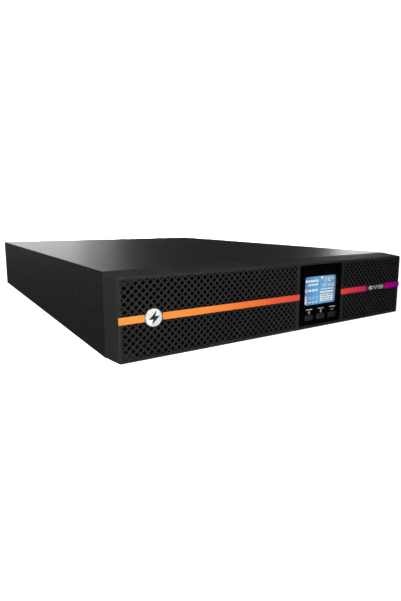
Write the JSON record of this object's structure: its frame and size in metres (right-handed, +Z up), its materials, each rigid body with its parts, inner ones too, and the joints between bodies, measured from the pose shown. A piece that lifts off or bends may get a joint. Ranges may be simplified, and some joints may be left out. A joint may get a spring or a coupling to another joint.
{
  "type": "uninterruptible power supply",
  "caption": "Flat rack or tower uninterruptible power supply: steel case, meshed plastic bezel with a coloured stripe, square turning display, pull-out battery drawer and rear outlets.",
  "frame": {"origin": "middle of the overall length and width, on the underside of the base tray", "axes": "the front bezel faces -Y, +X is to the right seen from the front, +Z is up"},
  "size_m": [0.438, 0.639, 0.0865],
  "materials": {
    "coated_steel": "fine matt powder coat",
    "zinc_steel": "bright zinc plate",
    "bezel_plastic": "finely textured",
    "gloss_black": "polished",
    "screen": "backlit blue",
    "key_rubber": "matt",
    "stripe_orange": "satin, shading towards coral",
    "stripe_coral": "satin, shading from orange to red",
    "stripe_red": "satin, shading from red to magenta",
    "stripe_purple": "satin, magenta to purple",
    "white_plastic": "satin",
    "black_plastic": "satin",
    "aluminium": "extruded",
    "circuit_board": "green solder mask",
    "ferrite": "lacquered core and coil",
    "sleeving": "shrink sleeve",
    "battery_case": "moulded case",
    "red_plastic": "moulded",
    "green_plastic": "moulded",
    "brass": "plain"
  },
  "bodies": {
    "chassis": {"base_tray": "coated_steel", "top_cover": "coated_steel", "front_frame": "coated_steel", "rear_panel": "coated_steel", "bay_divider": "zinc_steel", "battery_socket": "red_plastic", "side_screw_left_1": "black_plastic", "side_screw_left_2": "black_plastic", "side_screw_right_1": "black_plastic", "side_screw_right_2": "black_plastic", "main_board": "circuit_board", "heatsink_inverter": "aluminium", "heatsink_charger": "aluminium", "power_choke": "ferrite", "bulk_capacitor_1": "sleeving", "bulk_capacitor_2": "sleeving", "outlet_bank_1": "black_plastic", "outlet_bank_2": "black_plastic", "high_current_outlet": "black_plastic", "power_inlet": "black_plastic", "input_breaker": "black_plastic", "usb_port": "zinc_steel", "serial_port": "zinc_steel", "network_jacks": "black_plastic", "shutdown_terminal": "green_plastic", "slot_cover": "coated_steel", "slot_screw_1": "zinc_steel", "slot_screw_2": "zinc_steel", "ground_stud": "brass", "fan_1_housing": "black_plastic", "fan_1_guard": "zinc_steel", "fan_2_housing": "black_plastic", "fan_2_guard": "zinc_steel"},
    "fan_1_rotor": {"fan_1_rotor": "black_plastic"},
    "fan_2_rotor": {"fan_2_rotor": "black_plastic"},
    "breaker_button": {"breaker_button": "white_plastic"},
    "battery_drawer": {"battery_tray": "coated_steel", "battery_1": "battery_case", "battery_2": "battery_case", "battery_3": "battery_case", "battery_4": "battery_case", "battery_5": "battery_case", "battery_6": "battery_case", "battery_plug": "red_plastic", "battery_lead": "sleeving"},
    "tray_handle": {"tray_handle": "zinc_steel"},
    "bezel": {"front_bezel": "bezel_plastic", "stripe_start": "stripe_orange", "stripe_middle": "stripe_coral", "stripe_right": "stripe_red", "stripe_end": "stripe_purple", "nameplate": "black_plastic"},
    "badge": {"badge": "white_plastic"},
    "display_carrier": {"display_carrier": "bezel_plastic"},
    "display_head": {"display_housing": "gloss_black", "display_window": "gloss_black", "lcd_panel": "screen"},
    "button_power": {"button_power": "key_rubber"},
    "button_select": {"button_select": "key_rubber"},
    "button_enter": {"button_enter": "key_rubber"}
  },
  "joints": [
    {"name": "battery_slide", "type": "slide", "parent": "chassis", "child": "battery_drawer", "axis": [0, -1, 0], "range_m": [0, 0.48]},
    {"name": "handle_swing", "type": "hinge", "parent": "battery_drawer", "child": "tray_handle", "pos_m": [-0.112, -0.2905, 0.048], "axis": [-1, 0, 0], "range_deg": [0, 90]},
    {"name": "bezel_pull", "type": "slide", "parent": "chassis", "child": "bezel", "axis": [0, -1, 0], "range_m": [0, 0.6]},
    {"name": "badge_turn", "type": "hinge", "parent": "bezel", "child": "badge", "pos_m": [-0.18, -0.3185, 0.0422], "axis": [0, 1, 0], "range_deg": [0, 90]},
    {"name": "display_pull", "type": "slide", "parent": "chassis", "child": "display_carrier", "axis": [0, -1, 0], "range_m": [0, 0.014]},
    {"name": "display_turn", "type": "hinge", "parent": "display_carrier", "child": "display_head", "pos_m": [0.0523, -0.3185, 0.0423], "axis": [0, 1, 0], "range_deg": [0, 90]},
    {"name": "button_power_press", "type": "slide", "parent": "display_head", "child": "button_power", "axis": [0, 1, 0], "range_m": [0, 0.001], "stiffness_N_per_m": 400},
    {"name": "button_select_press", "type": "slide", "parent": "display_head", "child": "button_select", "axis": [0, 1, 0], "range_m": [0, 0.001], "stiffness_N_per_m": 400},
    {"name": "button_enter_press", "type": "slide", "parent": "display_head", "child": "button_enter", "axis": [0, 1, 0], "range_m": [0, 0.001], "stiffness_N_per_m": 400},
    {"name": "fan_1_spin", "type": "hinge", "parent": "chassis", "child": "fan_1_rotor", "pos_m": [-0.174, 0.2975, 0.04325], "axis": [0, 1, 0], "continuous": true},
    {"name": "fan_2_spin", "type": "hinge", "parent": "chassis", "child": "fan_2_rotor", "pos_m": [-0.09, 0.2975, 0.04325], "axis": [0, 1, 0], "continuous": true},
    {"name": "breaker_reset", "type": "slide", "parent": "chassis", "child": "breaker_button", "axis": [0, 1, 0], "range_m": [0, 0.004]}
  ],
  "couplings": [
    {"joint": "bezel_pull", "follows": "battery_slide", "ratio": 1.25},
    {"joint": "display_turn", "follows": "battery_slide", "rad_per_m": 3.27}
  ]
}
